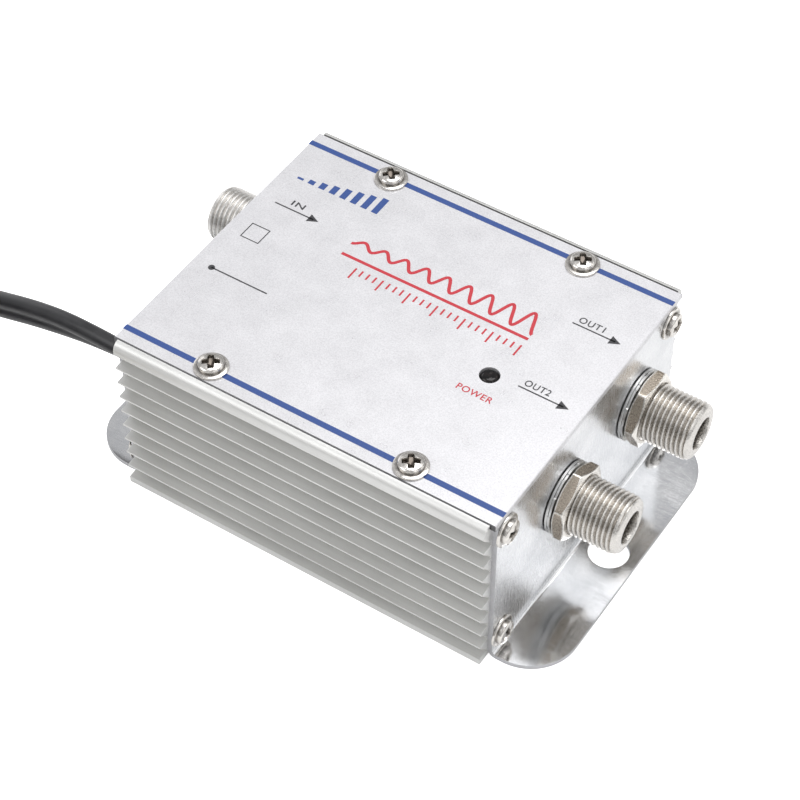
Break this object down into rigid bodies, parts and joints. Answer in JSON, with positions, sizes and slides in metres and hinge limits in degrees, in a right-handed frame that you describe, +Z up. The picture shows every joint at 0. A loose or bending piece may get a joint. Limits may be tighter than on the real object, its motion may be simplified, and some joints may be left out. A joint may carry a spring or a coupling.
{
  "type": "tv signal amplifier",
  "caption": "Ribbed aluminium box with threaded aerial input and outputs, printed cover, power lamp, mounting flanges and a flat mains cord with plug.",
  "frame": {"origin": "middle of the case's underside, on the surface that it stands on", "axes": "+X points out of the two output sockets, -Y is the long side nearest the mains cord, +Z up"},
  "size_m": [0.1685, 0.1051, 0.0332],
  "materials": {
    "ribbed_aluminium": "satin anodised",
    "printed_cover": "satin silver print on aluminium",
    "bright_plate": "bright rolled sheet",
    "nickel_screw": "nickel plated",
    "nickel_socket": "nickel plated, machined",
    "nickel_nut": "nickel plated, slightly brown",
    "zinc_washer": "zinc plated",
    "insulator": "matt",
    "tinned_wire": "tinned",
    "lamp_lens": "dark smoked, glossy",
    "board": "lacquered phenolic",
    "fish_paper": "matt sheet",
    "core_steel": "laminated steel",
    "bobbin": "moulded",
    "winding": "taped winding",
    "component_black": "moulded",
    "component_tan": "lacquered",
    "capacitor_sleeve": "shrink sleeve",
    "ferrite": "sintered",
    "copper_wire": "enamelled copper",
    "black_cord": "satin",
    "wire_brown": "satin",
    "tie_black": "matt",
    "plug_plastic": "moulded",
    "blade_metal": "plated brass"
  },
  "bodies": {
    "root": {"housing": "ribbed_aluminium", "top_cover": "printed_cover", "output_end_plate": "bright_plate", "input_end_plate": "bright_plate", "cover_screws": "nickel_screw", "output_plate_screws": "nickel_screw", "input_plate_screws": "nickel_screw", "input_connector_body": "nickel_socket", "front_output_connector_body": "nickel_socket", "rear_output_connector_body": "nickel_socket", "connector_flat_washers": "zinc_washer", "connector_lock_washers": "zinc_washer", "connector_nuts": "nickel_nut", "connector_insulators": "insulator", "connector_contacts": "tinned_wire", "power_lamp": "lamp_lens", "power_lamp_leads": "tinned_wire", "circuit_board": "board", "board_insulating_sheet": "fish_paper", "transformer_core": "core_steel", "transformer_bobbin": "bobbin", "transformer_windings": "winding", "transformer_pins": "tinned_wire", "rectifier_diodes": "component_black", "input_fuse": "component_tan", "resistors": "component_tan", "smoothing_capacitors": "capacitor_sleeve", "ceramic_capacitors": "component_tan", "voltage_regulator": "component_black", "amplifier_transistors": "component_black", "rf_coils": "copper_wire", "splitter_core": "ferrite", "cord_grommet": "black_cord", "cord_leads": "wire_brown", "power_cord": "black_cord", "cord_coil": "black_cord", "coil_tie": "tie_black", "plug_body": "plug_plastic", "plug_pins": "blade_metal"}
  },
  "joints": []
}
